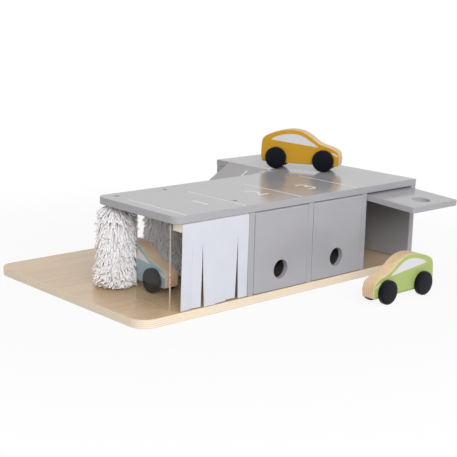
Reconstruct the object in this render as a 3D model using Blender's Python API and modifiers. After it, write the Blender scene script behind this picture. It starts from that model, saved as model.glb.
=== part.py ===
"""Toy garage: a plywood base with a car wash, three bays with tilting doors, a roof deck reached
by a ramp, and three wooden cars. Metres, +Z up, the doors face -Y.

The pieces are placed from the base's front left corner on the floor, and one parent empty moves
them all so that the origin lies at the centre of the base's underside."""

import math

import bmesh
import bpy
from mathutils import Matrix, Vector

# Clearances
GAP = 0.0003            # between pieces that touch
RUNNING_GAP = 0.0006    # beside a piece that turns or slides

# Base board
BASE_LENGTH = 0.600
BASE_DEPTH = 0.395
BASE_THICKNESS = 0.0137
BASE_CORNER = 0.027

# Painted boards
BOARD = 0.0114
BOARD_EDGE = 0.0007
DECK_THICKNESS = 0.0115
DECK_CORNER = 0.016
WALL_HEIGHT = 0.1314

# Plan of the roof deck, its platform, the car wash and the bays that fill the rest of the front
WASH_SIDE_MARGIN = 0.061
WASH_WIDTH = 0.1433
DECK_DEPTH = 0.1965
PLATFORM_WIDTH = 0.150
PLATFORM_DEPTH = 0.1585
BAY_COUNT = 3

# Ramp
RAMP_WIDTH = 0.123
RAMP_TOE = 0.0015
RAMP_TOE_SETBACK = 0.0024

# Doors and the pins that carry them
DOOR_THICKNESS = 0.0098
DOOR_TOP_GAP = 0.0010
DOOR_BOTTOM_GAP = 0.0013
DOOR_CORNER = 0.003
DOOR_EDGE = 0.0005
FINGER_HOLE_RADIUS = 0.015
FINGER_HOLE_HEIGHT = 0.033
PIN_RADIUS = 0.002
PIN_IN_DOOR = 0.012
PIN_IN_GROOVE = 0.0028
GROOVE_DEPTH = 0.0034
DOOR_TRAVEL = 0.118
OPEN_ANGLE = math.radians(86.6)
OPEN_DOOR_SLID_IN = 0.021

# Screws
SCREW_HEAD_RADIUS = 0.005
SCREW_HEAD_DEPTH = 0.0022
SCREW_SHANK_RADIUS = 0.002
SCREW_LENGTH = 0.030
SCREW_SOCKET_RADIUS = 0.0022
SCREW_SOCKET_DEPTH = 0.0012
SCREW_SUNK_BELOW_BASE = 0.001
DIVIDER_SCREW_Y = 0.041

# Car wash brushes
BRUSH_1_SETBACKS = (0.025, 0.0205)      # from the deck's side edge and its back edge
BRUSH_2_SETBACKS = (0.0238, 0.0215)     # from the first divider and the deck's back edge
SPINDLE_RADIUS = 0.007
SLEEVE_WALL = 0.003
YARN_ROWS = 12
YARN_PER_ROW = 15
YARN_ROOT_RADIUS = 0.0013
YARN_ROOT_DEPTH = 0.0012
YARN_TIP_RADIUS = 0.0021
YARN_REACH_TOP = 0.030
YARN_REACH_BOTTOM = 0.036
YARN_SLOPE_BOTTOM = 0.10
YARN_SLOPE_STEP = 0.14
YARN_SLOPE_MOST = 1.1
YARN_FLOOR_GAP = 0.0005
YARN_END_MARGIN = 0.004

# Car wash window
WINDOW_SETBACK = 0.005
WINDOW_Y = 0.020
WINDOW_WIDTH = 0.079
WINDOW_THICKNESS = 0.003
WINDOW_SLOT_DEPTH = 0.004

# Car wash curtain
CURTAIN_SIDE_SETBACK = 0.0135
CURTAIN_SLIT_SHARES = (0.151, 0.297, 0.475, 0.653, 0.830)
CURTAIN_SLIT_WIDTH = 0.0012
CURTAIN_TOP_GAP = 0.0013
CURTAIN_BAND = 0.033
CURTAIN_THICKNESS = 0.0012
CURTAIN_FLOOR_GAP = 0.0012
CURTAIN_SETBACK = 0.0006
CURTAIN_SWING = 0.0035
CURTAIN_COLUMNS = 3
CURTAIN_ROWS = 8
BATTEN_DEPTH = 0.022
BATTEN_HEIGHT = 0.0135

# Cars
WHEELBASE = 0.088
REAR_OVERHANG = 0.0295
FRONT_OVERHANG = 0.0290
CAR_THICKNESS = 0.024
CAR_EDGE = 0.0012
CAR_UNDERSIDE = 0.0105
CAR_TAIL_HEIGHT = 0.050
CAR_ROOF_HEIGHT = 0.0715
CAR_ROOF_PEAK = 0.028
CAR_HOOD_START = 0.079
CAR_HOOD_HEIGHT = 0.0485
CAR_NOSE_HEIGHT = 0.038
WHEEL_RADIUS = 0.0195
WHEEL_WIDTH = 0.009
WHEEL_ROUNDING = 0.003
WHEEL_DOME = 0.0008
WHEEL_BORE_DEPTH = 0.006
AXLE_RADIUS = 0.002

# Where the cars' rear axles are, and where the cars head, counted from +X
YELLOW_CAR_ON_PLATFORM = (0.0352, 0.030)    # from the platform's side and the bays' back
YELLOW_CAR_HEADING = math.radians(-61.75)
GREEN_CAR_FROM_END = 0.1307
GREEN_CAR_CLEARANCE = 0.0013
GREEN_CAR_HEADING = math.radians(180)
BLUE_CAR_SETBACKS = (0.0585, 0.0011)        # from the deck's side edge and its back edge
BLUE_CAR_HEADING = math.radians(-90)

# Places worked out from the sizes above
BASE_TOP = BASE_THICKNESS
WASH_RIGHT = WASH_SIDE_MARGIN + WASH_WIDTH
BAY_WIDTH = (BASE_LENGTH - WASH_RIGHT - (BAY_COUNT + 1) * BOARD) / BAY_COUNT
DECK_UNDERSIDE = BASE_TOP + WALL_HEIGHT
DECK_TOP = DECK_UNDERSIDE + DECK_THICKNESS
WALL_LOW = BASE_TOP + GAP
WALL_HIGH = DECK_UNDERSIDE - GAP
BACK_WALL_Y = DECK_DEPTH - BOARD
BACK_EDGE = DECK_DEPTH + PLATFORM_DEPTH
PLATFORM_X = BASE_LENGTH - PLATFORM_WIDTH
RIGHT_WALL_X = BASE_LENGTH - BOARD
PIN_HEIGHT = DECK_UNDERSIDE - DOOR_TOP_GAP - DOOR_THICKNESS / 2
PIN_TO_BOTTOM = PIN_HEIGHT - BASE_TOP - DOOR_BOTTOM_GAP
SLEEVE_RADIUS = SPINDLE_RADIUS + GAP + SLEEVE_WALL
BRUSH_PLACES = (
    (WASH_SIDE_MARGIN + BRUSH_1_SETBACKS[0], DECK_DEPTH - BRUSH_1_SETBACKS[1]),
    (WASH_RIGHT - BRUSH_2_SETBACKS[0], DECK_DEPTH - BRUSH_2_SETBACKS[1]))
WINDOW_X = WASH_SIDE_MARGIN + WINDOW_SETBACK
CURTAIN_LEFT = WASH_SIDE_MARGIN + CURTAIN_SIDE_SETBACK
CURTAIN_Y = CURTAIN_SETBACK + CURTAIN_THICKNESS / 2
CURTAIN_TOP = DECK_UNDERSIDE - CURTAIN_TOP_GAP
CURTAIN_HINGE_HEIGHT = CURTAIN_TOP - CURTAIN_THICKNESS / 2
TRACK = CAR_THICKNESS / 2 + RUNNING_GAP + WHEEL_WIDTH / 2
CAR_HALF_WIDTH = TRACK + WHEEL_WIDTH / 2
DOOR_SWEEP = math.sqrt(PIN_TO_BOTTOM ** 2 - (PIN_HEIGHT - CAR_ROOF_HEIGHT) ** 2)
YELLOW_CAR_PLACE = (
    PLATFORM_X + YELLOW_CAR_ON_PLATFORM[0], DECK_DEPTH + YELLOW_CAR_ON_PLATFORM[1])
GREEN_CAR_PLACE = (
    BASE_LENGTH - GREEN_CAR_FROM_END,
    DOOR_THICKNESS / 2 - DOOR_SWEEP - GREEN_CAR_CLEARANCE - CAR_THICKNESS / 2)
BLUE_CAR_PLACE = (
    WASH_SIDE_MARGIN + BLUE_CAR_SETBACKS[0], DECK_DEPTH - BLUE_CAR_SETBACKS[1])

# Colours and finishes: red, green, blue, roughness
PLYWOOD = ("birch plywood", (0.62, 0.49, 0.33), 0.5)
GREY_PAINT = ("grey paint", (0.42, 0.41, 0.41), 0.35)
LIGHT_WOOD = ("light wood", (0.68, 0.55, 0.40), 0.55)
BLACK_PLASTIC = ("black plastic", (0.012, 0.012, 0.015), 0.35)
DARK_STEEL = ("dark steel", (0.08, 0.08, 0.08), 0.4)
WHITE_YARN = ("white yarn", (0.78, 0.75, 0.77), 0.95)
WHITE_FELT = ("white felt", (0.80, 0.82, 0.86), 0.95)
CLEAR_ACRYLIC = ("clear acrylic", (0.85, 0.87, 0.87), 0.05)
YELLOW_PAINT = ("yellow paint", (0.58, 0.31, 0.03), 0.4)
GREEN_PAINT = ("green paint", (0.38, 0.48, 0.14), 0.4)
BLUE_PAINT = ("blue paint", (0.30, 0.40, 0.44), 0.4)

ALONG_X = Matrix.Rotation(math.pi / 2, 4, "Y")
ALONG_Y = Matrix.Rotation(math.pi / 2, 4, "X")
UPRIGHT = Matrix.Identity(4)

for leftover in list(bpy.data.objects):
    bpy.data.objects.remove(leftover, do_unlink=True)

garage = bpy.data.collections.new("toy garage")
cutters = bpy.data.collections.new("cutters")
bpy.context.scene.collection.children.link(garage)
bpy.context.scene.collection.children.link(cutters)


def make_material(finish):
    name, colour, roughness = finish
    material = bpy.data.materials.get(name) or bpy.data.materials.new(name)
    material.use_nodes = True
    shader = material.node_tree.nodes["Principled BSDF"]
    shader.inputs["Base Color"].default_value = (*colour, 1)
    shader.inputs["Roughness"].default_value = roughness
    shader.inputs["Metallic"].default_value = 1.0 if finish is DARK_STEEL else 0.0
    return material


def add_empty(name, place, turn=0.0, parent=None):
    empty = bpy.data.objects.new(name, None)
    empty.location = place
    empty.rotation_euler = (0, 0, turn)
    empty.parent = parent
    garage.objects.link(empty)
    return empty


def add_piece(name, mesh, finish, place=(0, 0, 0), parent=None, smooth=True):
    piece = bpy.data.objects.new(name, mesh)
    piece.location = place
    piece.parent = parent or frame
    garage.objects.link(piece)
    mesh.materials.clear()
    mesh.materials.append(make_material(finish))
    if smooth:
        mesh.shade_smooth()
        mesh.set_sharp_from_angle(angle=math.radians(35))
    return piece


def add_bevel(piece, width, segments=1):
    bevel = piece.modifiers.new("rounded edges", "BEVEL")
    bevel.width = width
    bevel.segments = segments
    bevel.limit_method = "ANGLE"
    bevel.angle_limit = math.radians(40)


def box_mesh(name, low, high):
    """A box between two corners, with its origin at the parent's origin."""
    low, high = Vector(low), Vector(high)
    sizes = high - low
    place = Matrix.Translation((low + high) / 2) @ Matrix.Diagonal((*sizes, 1))
    shape = bmesh.new()
    bmesh.ops.create_cube(shape, size=1, matrix=place)
    mesh = bpy.data.meshes.new(name)
    shape.to_mesh(mesh)
    shape.free()
    return mesh


def cylinder_mesh(name, radius, length, segments=20, turn=UPRIGHT, centre=(0, 0, 0)):
    shape = bmesh.new()
    bmesh.ops.create_cone(
        shape, cap_ends=True, segments=segments, radius1=radius, radius2=radius, depth=length,
        matrix=Matrix.Translation(centre) @ turn)
    mesh = bpy.data.meshes.new(name)
    shape.to_mesh(mesh)
    shape.free()
    return mesh


def add_board(name, low, high, finish=GREY_PAINT):
    board = add_piece(name, box_mesh(name, low, high), finish)
    add_bevel(board, BOARD_EDGE)
    return board


def cut(piece, mesh, parent=None, place=(0, 0, 0)):
    """Cuts the shape of a mesh out of a piece whose outer edges are rounded already."""
    cutter = bpy.data.objects.new(mesh.name, mesh)
    cutter.location = place
    cutter.parent = parent or frame
    cutter.hide_render = True
    cutter.display_type = "WIRE"
    cutters.objects.link(cutter)
    boolean = piece.modifiers.new(mesh.name, "BOOLEAN")
    boolean.operation = "DIFFERENCE"
    boolean.solver = "EXACT"
    boolean.object = cutter
    return boolean


def flat_outline_mesh(name, spline_maker, thickness):
    """A flat outline in the XY plane, thickened evenly to both sides, as a welded mesh."""
    curve = bpy.data.curves.new(name, "CURVE")
    curve.dimensions = "2D"
    curve.fill_mode = "BOTH"
    curve.extrude = thickness / 2
    spline_maker(curve)
    outline = bpy.data.objects.new(name, curve)
    garage.objects.link(outline)
    graph = bpy.context.evaluated_depsgraph_get()
    mesh = bpy.data.meshes.new_from_object(outline.evaluated_get(graph))
    bpy.data.objects.remove(outline, do_unlink=True)
    shape = bmesh.new()
    shape.from_mesh(mesh)
    bmesh.ops.remove_doubles(shape, verts=shape.verts, dist=0.00001)
    bmesh.ops.recalc_face_normals(shape, faces=shape.faces)
    shape.to_mesh(mesh)
    shape.free()
    mesh.name = name
    return mesh


def rounded_polygon(curve, corners, steps=5):
    """Adds a closed outline. Each corner is (x, y, radius), and a radius rounds it with an arc."""
    points = []
    for number, (x, y, radius) in enumerate(corners):
        corner = Vector((x, y))
        if radius == 0:
            points.append(corner)
            continue
        before = Vector(corners[number - 1][:2])
        after = Vector(corners[(number + 1) % len(corners)][:2])
        towards_before = (before - corner).normalized()
        towards_after = (after - corner).normalized()
        centre = corner + (towards_before + towards_after) * radius
        for step in range(steps + 1):
            angle = math.pi / 2 * step / steps
            reach = -towards_after * math.cos(angle) - towards_before * math.sin(angle)
            points.append(centre + reach * radius)
    spline = curve.splines.new("POLY")
    spline.points.add(len(points) - 1)
    for target, point in zip(spline.points, points):
        target.co = (point.x, point.y, 0, 1)
    spline.use_cyclic_u = True


def turned_piece(name, profile, finish, steps, place=(0, 0, 0), parent=None):
    """A profile of (radius, height) points, turned about the piece's own Z axis."""
    mesh = bpy.data.meshes.new(name)
    points = [(radius, 0, height) for radius, height in profile]
    edges = [(number, number + 1) for number in range(len(points) - 1)]
    mesh.from_pydata(points, edges, [])
    piece = add_piece(name, mesh, finish, place, parent, smooth=False)
    screw = piece.modifiers.new("turning", "SCREW")
    screw.axis = "Z"
    screw.steps = steps
    screw.render_steps = steps
    screw.use_merge_vertices = True
    screw.merge_threshold = 0.00001
    screw.use_smooth_shade = True
    return piece


def wall_left_edge(number):
    """The left face of a divider. Number 0 is the right wall, and the dividers follow leftwards."""
    return RIGHT_WALL_X - number * (BAY_WIDTH + BOARD)


def add_base():
    corners = [
        (0, 0, BASE_CORNER), (BASE_LENGTH, 0, BASE_CORNER),
        (BASE_LENGTH, BASE_DEPTH, BASE_CORNER), (0, BASE_DEPTH, BASE_CORNER)]
    mesh = flat_outline_mesh(
        "base_board", lambda curve: rounded_polygon(curve, corners), BASE_THICKNESS)
    base = add_piece("base_board", mesh, PLYWOOD, place=(0, 0, BASE_THICKNESS / 2))
    add_bevel(base, BOARD_EDGE)
    for number, (x, y) in enumerate(BRUSH_PLACES, 1):
        cut_screw_hole(base, f"base hole {number}", (x, y, SCREW_SUNK_BELOW_BASE), pointing_up=True)
    cut(base, window_slot("base window slot", BASE_TOP - WINDOW_SLOT_DEPTH, BASE_TOP + BOARD))
    return base


def add_deck():
    corners = [
        (WASH_SIDE_MARGIN, 0, DECK_CORNER), (BASE_LENGTH, 0, 0),
        (BASE_LENGTH, BACK_EDGE, 0), (PLATFORM_X, BACK_EDGE, 0),
        (PLATFORM_X, DECK_DEPTH, 0), (WASH_SIDE_MARGIN, DECK_DEPTH, DECK_CORNER)]
    mesh = flat_outline_mesh(
        "roof_deck", lambda curve: rounded_polygon(curve, corners), DECK_THICKNESS)
    deck = add_piece("roof_deck", mesh, GREY_PAINT, place=(0, 0, DECK_TOP - DECK_THICKNESS / 2))
    add_bevel(deck, BOARD_EDGE)
    for number, (x, y) in enumerate(BRUSH_PLACES, 1):
        cut_screw_hole(deck, f"deck hole {number}", (x, y, DECK_TOP))
    cut_screw_hole(deck, "deck hole over divider", (*divider_screw_place(), DECK_TOP))
    slot = window_slot(
        "deck window slot", DECK_UNDERSIDE - BOARD, DECK_UNDERSIDE + WINDOW_SLOT_DEPTH)
    cut(deck, slot)
    return deck


def window_slot(name, low, high):
    return box_mesh(
        name, (WINDOW_X - GAP, WINDOW_Y - GAP, low),
        (WINDOW_X + WINDOW_THICKNESS + GAP, WINDOW_Y + WINDOW_WIDTH + GAP, high))


def divider_screw_place():
    return WASH_RIGHT + BOARD / 2, DIVIDER_SCREW_Y


def cut_screw_hole(piece, name, head_face, pointing_up=False):
    """A stepped hole for a screw whose head's outer face lies at head_face."""
    along = 1 if pointing_up else -1
    x, y, z = head_face
    head_bottom = SCREW_HEAD_DEPTH + GAP
    outside = SCREW_HEAD_DEPTH
    head = cylinder_mesh(
        f"{name} head", SCREW_HEAD_RADIUS + GAP, head_bottom + outside,
        centre=(x, y, z + along * (head_bottom - outside) / 2))
    shank = cylinder_mesh(
        f"{name} shank", SCREW_SHANK_RADIUS + GAP, SCREW_LENGTH + GAP, segments=16,
        centre=(x, y, z + along * (SCREW_LENGTH + GAP) / 2))
    cut(piece, head)
    cut(piece, shank)


def add_screw(name, head_face, pointing_up=False):
    """A black socket screw. It points down unless pointing_up, and stays with the boards."""
    profile = [
        (0, 0), (SCREW_HEAD_RADIUS, 0), (SCREW_HEAD_RADIUS, -SCREW_HEAD_DEPTH),
        (SCREW_SHANK_RADIUS, -SCREW_HEAD_DEPTH), (SCREW_SHANK_RADIUS, -SCREW_LENGTH),
        (0, -SCREW_LENGTH)]
    screw = turned_piece(name, profile, DARK_STEEL, steps=16, place=head_face)
    screw.rotation_euler = (math.pi if pointing_up else 0, 0, 0)
    socket = cylinder_mesh(f"{name} socket", SCREW_SOCKET_RADIUS, 2 * SCREW_SOCKET_DEPTH, segments=6)
    cut(screw, socket, place=head_face)
    return screw


def add_walls():
    """The right wall, the dividers from right to left, the back wall and the platform's wall."""
    add_board(
        "right_wall", (RIGHT_WALL_X, 0, WALL_LOW), (BASE_LENGTH, BACK_EDGE, WALL_HIGH))
    cut_groove("right_wall", RIGHT_WALL_X, facing=-1)
    for number in range(1, BAY_COUNT + 1):
        name = f"divider_{BAY_COUNT + 1 - number}"
        left = wall_left_edge(number)
        divider = add_board(
            name, (left, 0, WALL_LOW), (left + BOARD, BACK_WALL_Y - GAP, WALL_HIGH))
        cut_groove(name, left + BOARD, facing=1)
        if number < BAY_COUNT:
            cut_groove(name, left, facing=-1)
        else:
            x, y = divider_screw_place()
            hole = cylinder_mesh(
                "divider screw hole", SCREW_SHANK_RADIUS + GAP, 2 * SCREW_LENGTH, segments=16,
                centre=(x, y, DECK_TOP - GAP))
            cut(divider, hole)
    add_board(
        "back_wall", (WASH_RIGHT, BACK_WALL_Y, WALL_LOW),
        (RIGHT_WALL_X - GAP, DECK_DEPTH, WALL_HIGH))
    add_board(
        "platform_wall", (PLATFORM_X, DECK_DEPTH + GAP, WALL_LOW),
        (PLATFORM_X + BOARD, BACK_EDGE, WALL_HIGH))


def cut_groove(wall_name, face_x, facing):
    """The groove that a door's pin slides in, cut into the wall's face at face_x."""
    half = PIN_RADIUS + GAP
    front = DOOR_THICKNESS / 2 - half
    back = DOOR_THICKNESS / 2 + DOOR_TRAVEL + half
    inner = face_x - facing * GROOVE_DEPTH
    outer = face_x + facing * GROOVE_DEPTH
    low = (min(inner, outer), front, PIN_HEIGHT - half)
    high = (max(inner, outer), back, PIN_HEIGHT + half)
    mesh = box_mesh(f"{wall_name} groove {facing}", low, high)
    shape = bmesh.new()
    shape.from_mesh(mesh)
    ends = [
        edge for edge in shape.edges
        if abs(edge.verts[0].co.x - edge.verts[1].co.x) > GROOVE_DEPTH]
    bmesh.ops.bevel(shape, geom=ends, offset=PIN_RADIUS, segments=4, profile=0.5, affect="EDGES")
    shape.to_mesh(mesh)
    shape.free()
    cut(garage.objects[wall_name], mesh)


def add_ramp():
    """A board with its foot cut level on the base and its head cut upright at the platform."""
    head_x = PLATFORM_X - GAP
    toe_x = WASH_RIGHT + RAMP_TOE_SETBACK
    foot_z = WALL_LOW
    slope = math.atan2(DECK_TOP - foot_z, head_x - toe_x)
    upright_thickness = BOARD / math.cos(slope)
    heel_x = head_x - (DECK_TOP - upright_thickness - foot_z) / math.tan(slope)
    toe_back_x = toe_x + RAMP_TOE / math.tan(slope)
    corners = [
        (toe_back_x, foot_z, 0), (heel_x, foot_z, 0), (head_x, DECK_TOP - upright_thickness, 0),
        (head_x, DECK_TOP, 0), (toe_back_x, foot_z + RAMP_TOE, 0)]
    mesh = flat_outline_mesh("ramp", lambda curve: rounded_polygon(curve, corners), RAMP_WIDTH)
    mesh.transform(ALONG_Y)
    ramp = add_piece("ramp", mesh, GREY_PAINT, place=(0, DECK_DEPTH + GAP + RAMP_WIDTH / 2, 0))
    add_bevel(ramp, BOARD_EDGE / 2)
    return ramp


def add_door(number, left_wall, slid_in, angle):
    """A door that hangs from two pins near its top edge. The pins' centre line is the hinge."""
    inner_left = wall_left_edge(left_wall) + BOARD
    centre_x = inner_left + BAY_WIDTH / 2
    half_width = BAY_WIDTH / 2 - RUNNING_GAP
    pin_y = DOOR_THICKNESS / 2 + slid_in
    pivot = add_empty(f"door {number} pivot", (centre_x, pin_y, PIN_HEIGHT), parent=frame)
    half = DOOR_THICKNESS / 2
    mesh = box_mesh(
        f"door_{number}", (-half_width, -half, -PIN_TO_BOTTOM), (half_width, half, half))
    shape = bmesh.new()
    shape.from_mesh(mesh)
    top_edges = [
        edge for edge in shape.edges
        if all(vertex.co.z > 0 for vertex in edge.verts)
        and abs(edge.verts[0].co.x - edge.verts[1].co.x) > half]
    bmesh.ops.bevel(
        shape, geom=top_edges, offset=half - GAP, segments=4, profile=0.5, affect="EDGES")
    bottom_corners = [
        edge for edge in shape.edges
        if all(vertex.co.z < 0 for vertex in edge.verts)
        and abs(edge.verts[0].co.y - edge.verts[1].co.y) > half]
    bmesh.ops.bevel(
        shape, geom=bottom_corners, offset=DOOR_CORNER, segments=3, profile=0.5, affect="EDGES")
    shape.to_mesh(mesh)
    shape.free()
    door = add_piece(f"door_{number}", mesh, GREY_PAINT, parent=pivot)
    door.rotation_euler = (-angle, 0, 0)
    add_bevel(door, DOOR_EDGE)
    hole = cylinder_mesh(
        f"door {number} finger hole", FINGER_HOLE_RADIUS, 4 * DOOR_THICKNESS, segments=28,
        turn=ALONG_Y, centre=(0, 0, FINGER_HOLE_HEIGHT + BASE_TOP - PIN_HEIGHT))
    cut(door, hole, parent=door)
    for side, name in ((-1, "left"), (1, "right")):
        bore = cylinder_mesh(
            f"door {number} {name} bore", PIN_RADIUS + GAP, 2 * (PIN_IN_DOOR + GAP), segments=16,
            turn=ALONG_X, centre=(side * half_width, 0, 0))
        cut(door, bore, parent=door)
        pin_outer = BAY_WIDTH / 2 + PIN_IN_GROOVE
        pin_inner = half_width - PIN_IN_DOOR
        pin = cylinder_mesh(
            f"door_{number}_{name}_pin", PIN_RADIUS, pin_outer - pin_inner, segments=16,
            turn=ALONG_X)
        pin_centre = side * (pin_outer + pin_inner) / 2
        add_piece(
            f"door_{number}_{name}_pin", pin, DARK_STEEL, place=(pin_centre, 0, 0), parent=pivot)
    return door


def yarn_limit(brush_x, angle, tip_height):
    """How far a strand may reach before it meets what the yarn is pressed flat against."""
    faces = [WASH_RIGHT]
    if tip_height < BASE_TOP + CAR_ROOF_HEIGHT + YARN_ROOT_RADIUS:
        faces += [BLUE_CAR_PLACE[0] - CAR_HALF_WIDTH, BLUE_CAR_PLACE[0] + CAR_HALF_WIDTH]
    reach = YARN_REACH_BOTTOM
    for face in faces:
        distance = abs(face - brush_x) - YARN_TIP_RADIUS - GAP
        towards_face = math.copysign(1, face - brush_x) * math.cos(angle)
        if towards_face > 0:
            reach = min(reach, distance / towards_face)
    return reach


def yarn_strands(brush, low, high):
    """Rows of strands round the sleeve, in a mesh of their own. They lean down more, row by row
    from the bottom, and each second row stands between the strands of the row under it."""
    shape = bmesh.new()
    rise = (high - low - YARN_END_MARGIN) / YARN_ROWS
    root = SLEEVE_RADIUS - YARN_ROOT_DEPTH
    for row in range(YARN_ROWS):
        root_height = low + YARN_END_MARGIN + row * rise
        slope = min(YARN_SLOPE_MOST, YARN_SLOPE_BOTTOM + YARN_SLOPE_STEP * row)
        share = row / (YARN_ROWS - 1)
        full_reach = YARN_REACH_BOTTOM + (YARN_REACH_TOP - YARN_REACH_BOTTOM) * share
        for strand in range(YARN_PER_ROW):
            angle = 2 * math.pi * (strand + row % 2 / 2) / YARN_PER_ROW
            full_drop = slope * (full_reach - root)
            limit = yarn_limit(BRUSH_PLACES[brush - 1][0], angle, root_height - full_drop)
            reach = min(full_reach, limit)
            if reach < SLEEVE_RADIUS:
                continue
            start = Vector((root * math.cos(angle), root * math.sin(angle), root_height))
            end = Vector((
                reach * math.cos(angle), reach * math.sin(angle),
                root_height - slope * (reach - root)))
            along = end - start
            turn = along.to_track_quat("Z", "Y").to_matrix().to_4x4()
            bmesh.ops.create_cone(
                shape, cap_ends=True, segments=3, radius1=YARN_ROOT_RADIUS,
                radius2=YARN_TIP_RADIUS, depth=along.length,
                matrix=Matrix.Translation((start + end) / 2) @ turn)
    mesh = bpy.data.meshes.new(f"brush {brush} strands")
    shape.to_mesh(mesh)
    shape.free()
    return mesh


def add_brush(number, place):
    """A dowel that turns on two screws, and a sleeve of yarn strands fixed round it."""
    x, y = place
    low = BASE_TOP + RUNNING_GAP
    high = DECK_UNDERSIDE - RUNNING_GAP
    axis = add_empty(f"brush {number} axis", (x, y, 0), parent=frame)
    middle = (0, 0, (low + high) / 2)
    spindle_mesh = cylinder_mesh(
        f"brush_{number}_spindle", SPINDLE_RADIUS, high - low, centre=middle)
    spindle = add_piece(f"brush_{number}_spindle", spindle_mesh, LIGHT_WOOD, parent=axis)
    top_reach = SCREW_LENGTH + GAP - DECK_THICKNESS
    bottom_reach = SCREW_SUNK_BELOW_BASE + SCREW_LENGTH + GAP - BASE_THICKNESS
    for end, height, reach in (("top", high, top_reach), ("bottom", low, bottom_reach)):
        bore = cylinder_mesh(
            f"brush {number} {end} bore", SCREW_SHANK_RADIUS + GAP, 2 * reach, segments=16,
            centre=(0, 0, height))
        cut(spindle, bore, parent=axis)
    inner = SPINDLE_RADIUS + GAP
    sleeve_low = low + YARN_FLOOR_GAP
    sleeve_high = high - YARN_FLOOR_GAP
    profile = [
        (inner, sleeve_high), (SLEEVE_RADIUS, sleeve_high), (SLEEVE_RADIUS, sleeve_low),
        (inner, sleeve_low), (inner, sleeve_high)]
    yarn = turned_piece(f"brush_{number}_yarn", profile, WHITE_YARN, steps=24, parent=axis)
    strands = cut(yarn, yarn_strands(number, sleeve_low, sleeve_high), parent=axis)
    strands.operation = "UNION"
    add_screw(f"brush_{number}_top_screw", (x, y, DECK_TOP))
    add_screw(f"brush_{number}_bottom_screw", (x, y, SCREW_SUNK_BELOW_BASE), pointing_up=True)


def add_window():
    low = BASE_TOP - WINDOW_SLOT_DEPTH + GAP
    high = DECK_UNDERSIDE + WINDOW_SLOT_DEPTH - GAP
    mesh = box_mesh(
        "wash_window", (WINDOW_X, WINDOW_Y, low),
        (WINDOW_X + WINDOW_THICKNESS, WINDOW_Y + WINDOW_WIDTH, high))
    return add_piece("wash_window", mesh, CLEAR_ACRYLIC)


def add_curtain():
    """A felt curtain with slits: a band under the roof, and strips that swing a little. Its own
    X axis lies in its top edge, where it swings."""
    right = WASH_RIGHT - GAP
    slits = [CURTAIN_LEFT + share * (right - CURTAIN_LEFT) for share in CURTAIN_SLIT_SHARES]
    bounds = [CURTAIN_LEFT, *slits, right]
    columns = []
    strip_of_column = []
    for strip in range(len(bounds) - 1):
        left_side = bounds[strip] + (CURTAIN_SLIT_WIDTH / 2 if strip else 0)
        last = strip == len(bounds) - 2
        right_side = bounds[strip + 1] - (0 if last else CURTAIN_SLIT_WIDTH / 2)
        for column in range(CURTAIN_COLUMNS + 1):
            columns.append(left_side + (right_side - left_side) * column / CURTAIN_COLUMNS)
            strip_of_column.append(strip)
    band_low = DECK_UNDERSIDE - CURTAIN_BAND
    bottom = BASE_TOP + CURTAIN_FLOOR_GAP
    heights = [CURTAIN_TOP] + [
        band_low + (bottom - band_low) * row / CURTAIN_ROWS for row in range(CURTAIN_ROWS + 1)]

    shape = bmesh.new()
    bmesh.ops.create_grid(
        shape, x_segments=len(columns) - 1, y_segments=len(heights) - 1, size=1)
    slit_faces = []
    for face in shape.faces:
        spots = [grid_spot(vertex.co, columns, heights) for vertex in face.verts]
        strips = {strip_of_column[column] for column, _ in spots}
        under_band = min(row for _, row in spots) >= 1
        if len(strips) > 1 and under_band:
            slit_faces.append(face)
    for vertex in shape.verts:
        column, row = grid_spot(vertex.co, columns, heights)
        strip = strip_of_column[column]
        hang = max(0.0, (band_low - heights[row]) / (band_low - bottom))
        across = (column % (CURTAIN_COLUMNS + 1)) / CURTAIN_COLUMNS - 0.5
        swing = CURTAIN_SWING * hang * math.sin(1.9 * strip + 0.6)
        twist = CURTAIN_SWING * hang * across * math.cos(2.7 * strip)
        vertex.co = (columns[column], swing + twist, heights[row] - CURTAIN_HINGE_HEIGHT)
    bmesh.ops.delete(shape, geom=slit_faces, context="FACES")
    bmesh.ops.recalc_face_normals(shape, faces=shape.faces)
    mesh = bpy.data.meshes.new("wash_curtain")
    shape.to_mesh(mesh)
    shape.free()
    hinge = (0, CURTAIN_Y, CURTAIN_HINGE_HEIGHT)
    curtain = add_piece("wash_curtain", mesh, WHITE_FELT, place=hinge)
    solidify = curtain.modifiers.new("felt", "SOLIDIFY")
    solidify.thickness = CURTAIN_THICKNESS
    solidify.offset = 0
    return curtain


def grid_spot(point, columns, heights):
    """The column and row of a vertex in a grid that spans -1 to 1 both ways, row 0 at the top."""
    column = round((point.x + 1) / 2 * (len(columns) - 1))
    row = round((1 - point.y) / 2 * (len(heights) - 1))
    return column, row


def add_batten():
    y = CURTAIN_SETBACK + CURTAIN_THICKNESS + RUNNING_GAP
    batten = box_mesh(
        "curtain_batten", (CURTAIN_LEFT + BOARD_EDGE, y, WALL_HIGH - BATTEN_HEIGHT),
        (WASH_RIGHT - GAP, y + BATTEN_DEPTH, WALL_HIGH))
    return add_piece("curtain_batten", batten, LIGHT_WOOD)


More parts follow.
